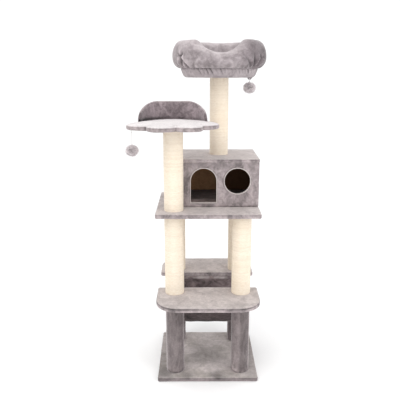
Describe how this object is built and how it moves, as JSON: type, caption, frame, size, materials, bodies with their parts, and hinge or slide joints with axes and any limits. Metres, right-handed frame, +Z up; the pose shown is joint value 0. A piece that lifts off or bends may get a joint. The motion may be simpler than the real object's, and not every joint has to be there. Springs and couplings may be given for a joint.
{
  "type": "cat tree",
  "caption": "Tall free-standing cat tree with sisal posts, plush shelves, a slung hammock, a house, a scalloped seat, a round bed and swinging pompoms.",
  "frame": {"origin": "middle of the base's underside, on the floor", "axes": "+Z up, -Y the front with the openings of the house, +X to the right seen from the front"},
  "size_m": [0.6455, 0.683, 1.593],
  "materials": {
    "plush": "short-pile plush, warm grey",
    "plush_bolster": "short-pile plush over loose fill, warm grey",
    "plush_pad": "short-pile plush over foam, warm grey",
    "plush_sling": "double-faced short-pile plush, warm grey",
    "sisal": "natural sisal rope, wound",
    "binding": "plush edge binding, pale grey",
    "foam": "open-cell foam",
    "string": "white braided string",
    "pompom": "fluffy yarn, grey",
    "chipboard": "raw particle board",
    "fibreboard": "raw brown hardboard",
    "cardboard": "spiral-wound kraft tube",
    "wood": "pine",
    "zinc_steel": "bright zinc plate"
  },
  "bodies": {
    "tree": {"backrest_core": "fibreboard", "backrest_cover": "plush", "base_board": "chipboard", "base_cover": "plush", "base_washers": "zinc_steel", "bed_band": "plush", "bed_board": "chipboard", "bed_bolster": "plush_bolster", "bed_cushion": "plush_pad", "bed_post_sisal": "sisal", "bed_post_tube": "cardboard", "connector_bolts": "zinc_steel", "connector_rods": "zinc_steel", "door_binding": "binding", "front_left_leg_cover": "plush", "front_left_post_sisal": "sisal", "front_right_leg_cover": "plush", "front_right_post_sisal": "sisal", "front_shelf_board": "chipboard", "front_shelf_cover": "plush", "hammock": "plush_sling", "hammock_front_dowel": "wood", "hammock_rear_dowel": "wood", "hammock_screws": "zinc_steel", "house_back_panel": "fibreboard", "house_floor_pad": "plush_pad", "house_front_panel": "fibreboard", "house_left_panel": "fibreboard", "house_platform_board": "chipboard", "house_platform_cover": "plush", "house_right_panel": "fibreboard", "house_roof_cover": "plush", "house_roof_panel": "fibreboard", "house_screws": "zinc_steel", "house_wall_cover": "plush", "left_toy_staple": "zinc_steel", "leg_end_plugs": "wood", "leg_tubes": "cardboard", "post_end_plugs": "wood", "post_tubes": "cardboard", "rear_left_leg_cover": "plush", "rear_left_post_sisal": "sisal", "rear_right_leg_cover": "plush", "rear_right_post_sisal": "sisal", "rear_shelf_board": "chipboard", "rear_shelf_cover": "plush", "right_toy_tab": "plush", "seat_board": "chipboard", "seat_cover": "plush", "seat_pad": "foam", "seat_post_sisal": "sisal", "seat_post_tube": "cardboard", "upper_post_end_plugs": "wood", "window_binding": "binding"},
    "left_loop": {"left_toy_loop": "string"},
    "left_toy": {"left_toy_string": "string", "left_pompom": "pompom"},
    "right_loop": {"right_toy_loop": "string"},
    "right_toy": {"right_toy_string": "string", "right_pompom": "pompom"}
  },
  "joints": [
    {"name": "left_toy_fore_aft", "type": "hinge", "parent": "tree", "child": "left_loop", "pos_m": [-0.341, -0.171, 1.2], "axis": [1, 0, 0], "range_deg": [-50, 50]},
    {"name": "left_toy_sideways", "type": "hinge", "parent": "left_loop", "child": "left_toy", "pos_m": [-0.341, -0.171, 1.1943], "axis": [0, 1, 0], "range_deg": [-50, 50]},
    {"name": "right_toy_fore_aft", "type": "hinge", "parent": "tree", "child": "right_loop", "pos_m": [0.196, 0.018, 1.416], "axis": [1, 0, 0], "range_deg": [-40, 40]},
    {"name": "right_toy_sideways", "type": "hinge", "parent": "right_loop", "child": "right_toy", "pos_m": [0.196, 0.018, 1.41071], "axis": [0, 1, 0], "range_deg": [-40, 40]}
  ]
}
